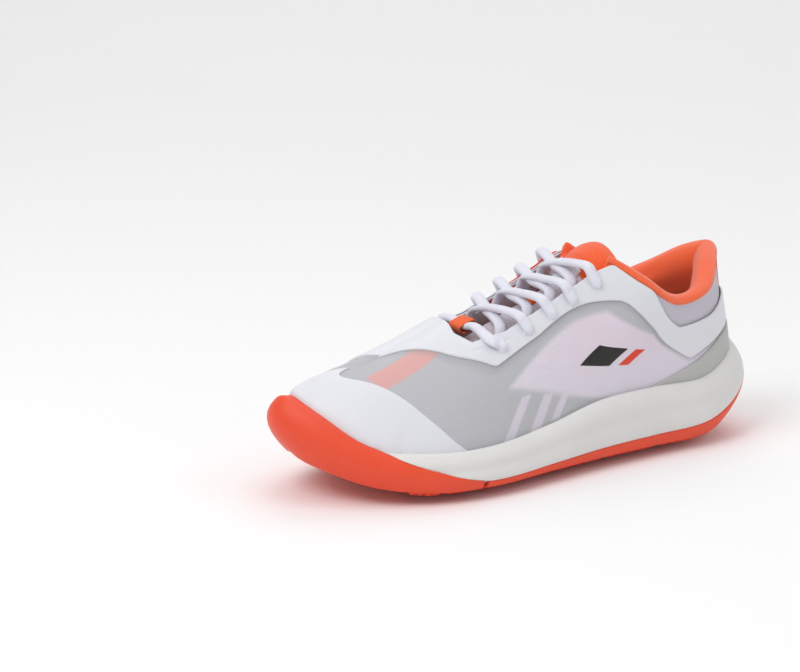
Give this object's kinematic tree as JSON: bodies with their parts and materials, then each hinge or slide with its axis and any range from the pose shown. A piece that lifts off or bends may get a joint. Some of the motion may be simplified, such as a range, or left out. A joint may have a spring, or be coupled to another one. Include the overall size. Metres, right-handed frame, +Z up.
{
  "type": "court shoe",
  "caption": "Low-cut lace-up court shoe for a left foot, with a wrapped rubber toe, foam midsole, knitted upper under moulded overlays and a padded collar.",
  "frame": {"origin": "middle of the shoe's outline on the ground under the tread", "axes": "+X from the toe towards the heel, +Y towards the inner side of the foot, +Z up"},
  "size_m": [0.2975, 0.108, 0.116],
  "materials": {
    "rubber_orange": "moulded, satin",
    "midsole_foam": "moulded foam, matt",
    "shank_plastic": "moulded",
    "board_fibre": "pressed fibre",
    "insole_cloth": "knitted top cloth on foam",
    "knit_cloth": "fine knit",
    "lining_cloth": "mesh lining",
    "stiffener": "moulded sheet",
    "soft_foam": "open foam",
    "collar_cloth": "padded cloth",
    "mesh_film": "printed film over mesh",
    "white_film": "moulded film, satin",
    "saddle_film": "moulded film, satin",
    "clip_plastic": "moulded, matt",
    "mark_film": "printed film",
    "tape_cloth": "woven tape",
    "ribbon_cloth": "woven ribbon",
    "lace_cloth": "flat woven lace",
    "aglet_plastic": "clear tube"
  },
  "bodies": {
    "shoe": {"forefoot_outsole": "rubber_orange", "heel_outsole": "rubber_orange", "midsole": "midsole_foam", "midfoot_shank": "shank_plastic", "strobel_board": "board_fibre", "knit_upper": "knit_cloth", "inner_lining": "lining_cloth", "heel_counter": "stiffener", "toe_puff": "stiffener", "collar_foam_pad": "soft_foam", "collar_lining": "collar_cloth", "lateral_film": "mesh_film", "toe_overlay": "white_film", "eyestay_overlay": "white_film", "medial_overlay": "white_film", "medial_window_mesh": "mesh_film", "medial_saddle": "saddle_film", "heel_clip": "clip_plastic", "heel_strip": "collar_cloth", "side_mark": "mark_film", "eyelet_tape_lateral": "tape_cloth", "eyelet_tape_medial": "tape_cloth", "throat_ribbon": "ribbon_cloth", "lace": "lace_cloth", "lace_aglets": "aglet_plastic"},
    "tongue": {"tongue_body": "collar_cloth", "tongue_patch": "white_film", "tongue_keeper": "ribbon_cloth"},
    "insole": {"insole": "insole_cloth"}
  },
  "joints": [
    {"name": "tongue_tilt", "type": "hinge", "parent": "shoe", "child": "tongue", "pos_m": [-0.045, 0.001, 0.0635], "axis": [0, 1, 0], "range_deg": [0, 12], "stiffness_Nm_per_rad": 1, "springref_deg": -1.72},
    {"name": "insole_lift", "type": "hinge", "parent": "shoe", "child": "insole", "pos_m": [-0.122, 0.005, 0.022], "axis": [0, -1, 0], "range_deg": [0, 5]}
  ]
}
